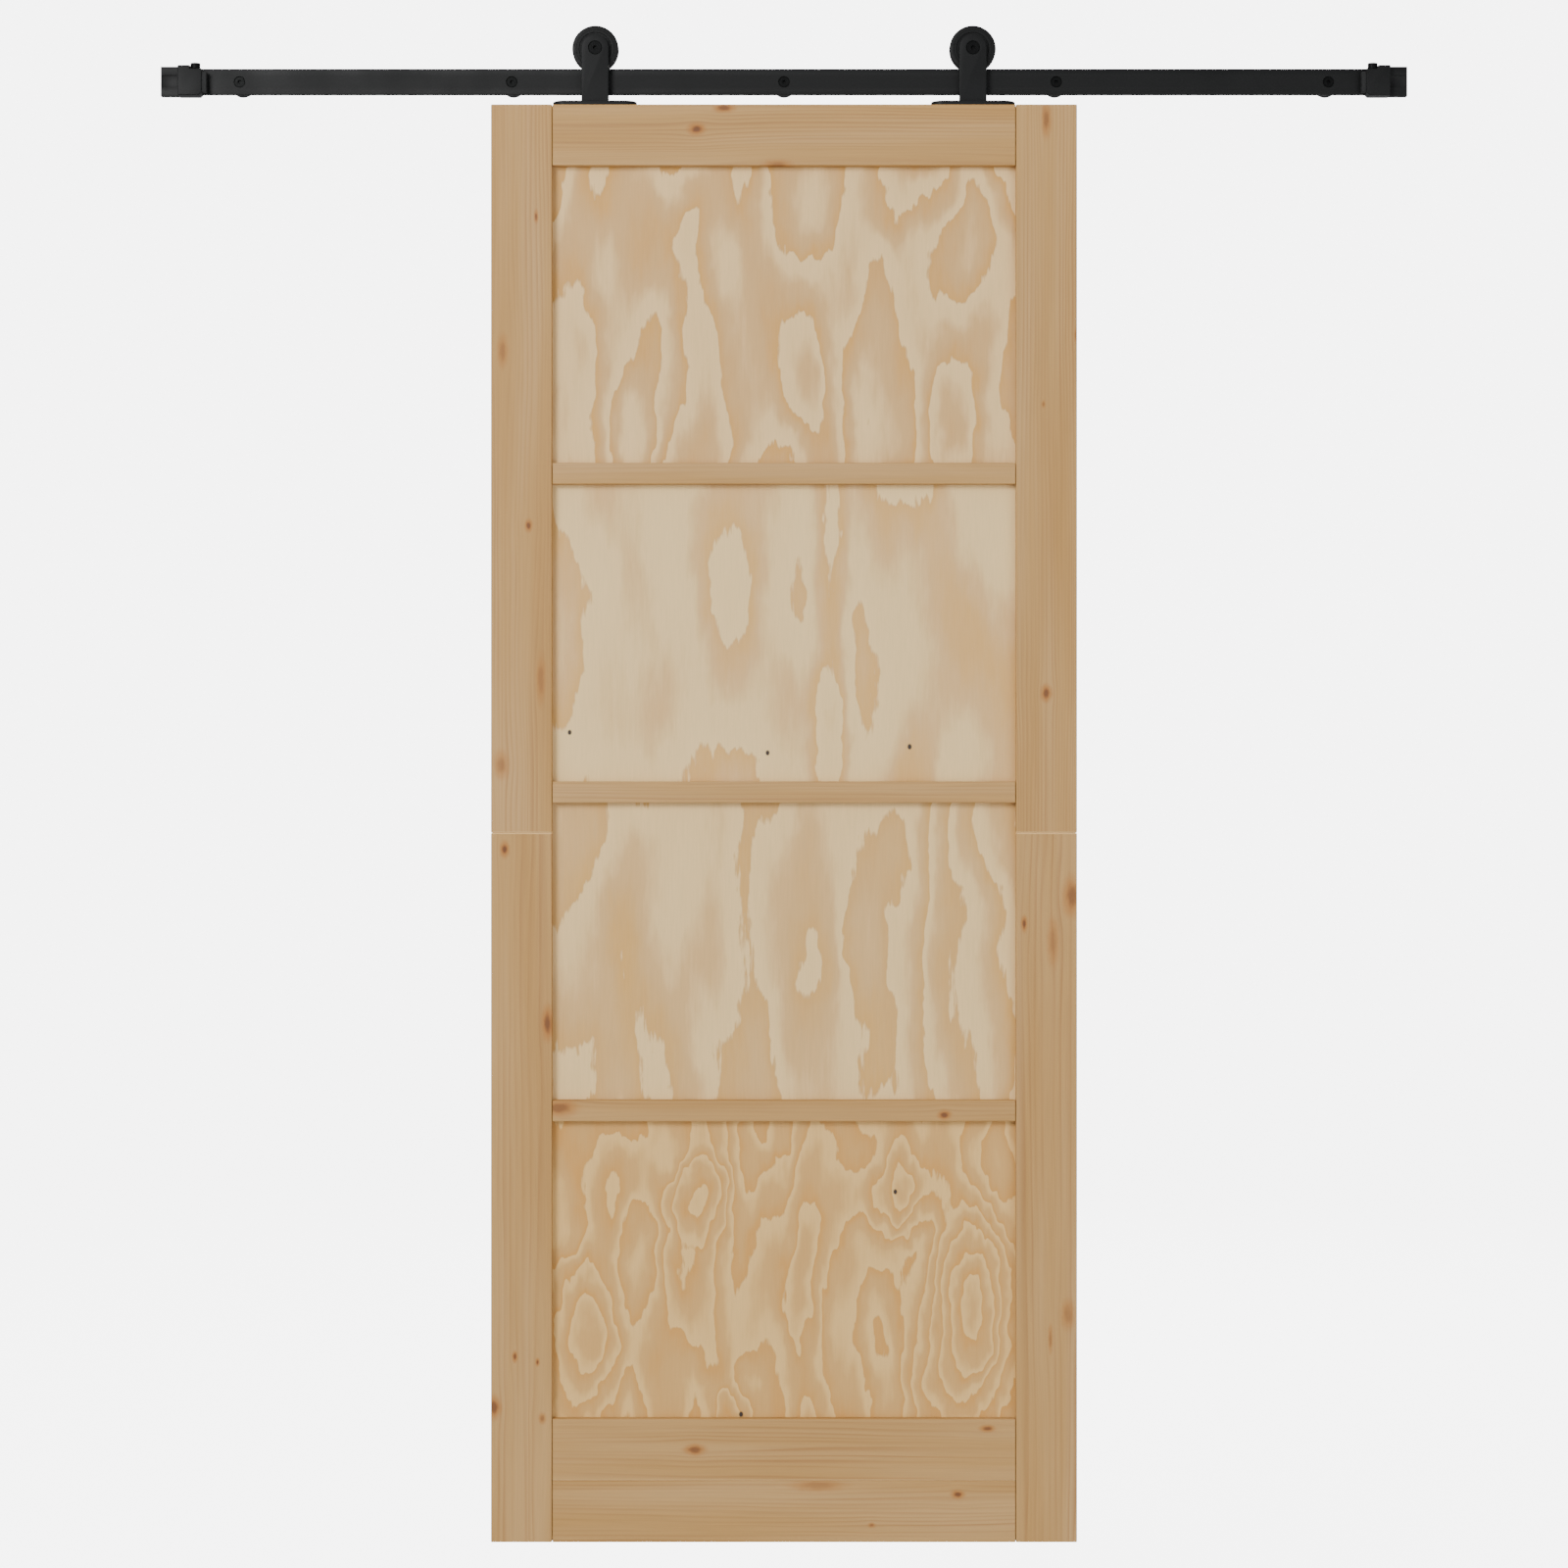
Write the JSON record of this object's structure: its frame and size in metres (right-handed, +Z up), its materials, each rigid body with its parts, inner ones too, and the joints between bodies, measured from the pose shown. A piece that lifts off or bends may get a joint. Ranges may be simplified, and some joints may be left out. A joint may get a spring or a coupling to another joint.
{
  "type": "sliding barn door",
  "caption": "Top-hung sliding barn door: a framed pine leaf on grooved wheels that roll along a black wall rail between end stops.",
  "frame": {"origin": "where the rail's middle fixing meets the wall's face, at the height of the rail's centreline", "axes": "+X along the rail to the viewer's right, +Y into the wall, +Z up"},
  "size_m": [1.83, 0.1256, 2.2208],
  "materials": {
    "black_steel": "matt black fine-texture powder coat",
    "black_screw": "black oxide, lightly oiled",
    "black_nylon": "moulded nylon, fine tool marks",
    "rubber": "moulded black rubber",
    "zinc": "bright zinc plating",
    "bearing_steel": "ground and polished bearing steel",
    "pine": "planed and sanded pine, unfinished",
    "plywood": "rotary-cut pine veneer, sanded, unfinished",
    "birch": "sawn birch plywood"
  },
  "bodies": {
    "track": {"rail": "black_steel", "spacer_1": "black_steel", "spacer_2": "black_steel", "spacer_3": "black_steel", "spacer_4": "black_steel", "spacer_5": "black_steel", "lag_screw_1": "black_screw", "lag_screw_2": "black_screw", "lag_screw_3": "black_screw", "lag_screw_4": "black_screw", "lag_screw_5": "black_screw", "stop_body_left": "black_steel", "stop_screw_left": "black_screw", "stop_bumper_left": "rubber", "stop_body_right": "black_steel", "stop_screw_right": "black_screw", "stop_bumper_right": "rubber"},
    "door": {"hanger_plate_left": "black_steel", "hanger_plate_right": "black_steel", "axle_bolt_left": "black_screw", "axle_bolt_right": "black_screw", "bearing_inner_left": "bearing_steel", "bearing_inner_right": "bearing_steel", "axle_spacer_left": "zinc", "axle_washer_left": "zinc", "axle_nut_left": "zinc", "axle_spacer_right": "zinc", "axle_washer_right": "zinc", "axle_nut_right": "zinc", "plate_screw_left_1": "zinc", "plate_screw_left_2": "zinc", "plate_screw_left_3": "zinc", "plate_screw_left_4": "zinc", "plate_screw_right_1": "zinc", "plate_screw_right_2": "zinc", "plate_screw_right_3": "zinc", "plate_screw_right_4": "zinc", "stile_left_upper": "pine", "stile_left_lower": "pine", "stile_right_upper": "pine", "stile_right_lower": "pine", "top_rail": "pine", "cross_bar_1": "pine", "cross_bar_2": "pine", "cross_bar_3": "pine", "bottom_rail_upper": "pine", "bottom_rail_lower": "pine", "panel_1": "plywood", "panel_2": "plywood", "panel_3": "plywood", "panel_4": "plywood", "stile_tongue_left": "birch", "stile_tongue_right": "birch"},
    "left_wheel": {"wheel_left": "black_nylon", "bearing_outer_left": "bearing_steel"},
    "right_wheel": {"wheel_right": "black_nylon", "bearing_outer_right": "bearing_steel"},
    "left_ball_cage": {"ball_cage_left": "bearing_steel"},
    "right_ball_cage": {"ball_cage_right": "bearing_steel"}
  },
  "joints": [
    {"name": "door_slide", "type": "slide", "parent": "track", "child": "door", "axis": [1, 0, 0], "range_m": [-0.549, 0.549]},
    {"name": "left_wheel_roll", "type": "hinge", "parent": "door", "child": "left_wheel", "pos_m": [-0.277, -0.0333, 0.0478], "axis": [0, 1, 0], "continuous": true},
    {"name": "left_cage_roll", "type": "hinge", "parent": "door", "child": "left_ball_cage", "pos_m": [-0.277, -0.0333, 0.0478], "axis": [0, 1, 0], "continuous": true},
    {"name": "right_wheel_roll", "type": "hinge", "parent": "door", "child": "right_wheel", "pos_m": [0.277, -0.0333, 0.0478], "axis": [0, 1, 0], "continuous": true},
    {"name": "right_cage_roll", "type": "hinge", "parent": "door", "child": "right_ball_cage", "pos_m": [0.277, -0.0333, 0.0478], "axis": [0, 1, 0], "continuous": true}
  ],
  "couplings": [
    {"joint": "left_wheel_roll", "follows": "door_slide", "rad_per_m": 35.088},
    {"joint": "left_cage_roll", "follows": "door_slide", "rad_per_m": 22.222},
    {"joint": "right_wheel_roll", "follows": "door_slide", "rad_per_m": 35.088},
    {"joint": "right_cage_roll", "follows": "door_slide", "rad_per_m": 22.222}
  ]
}
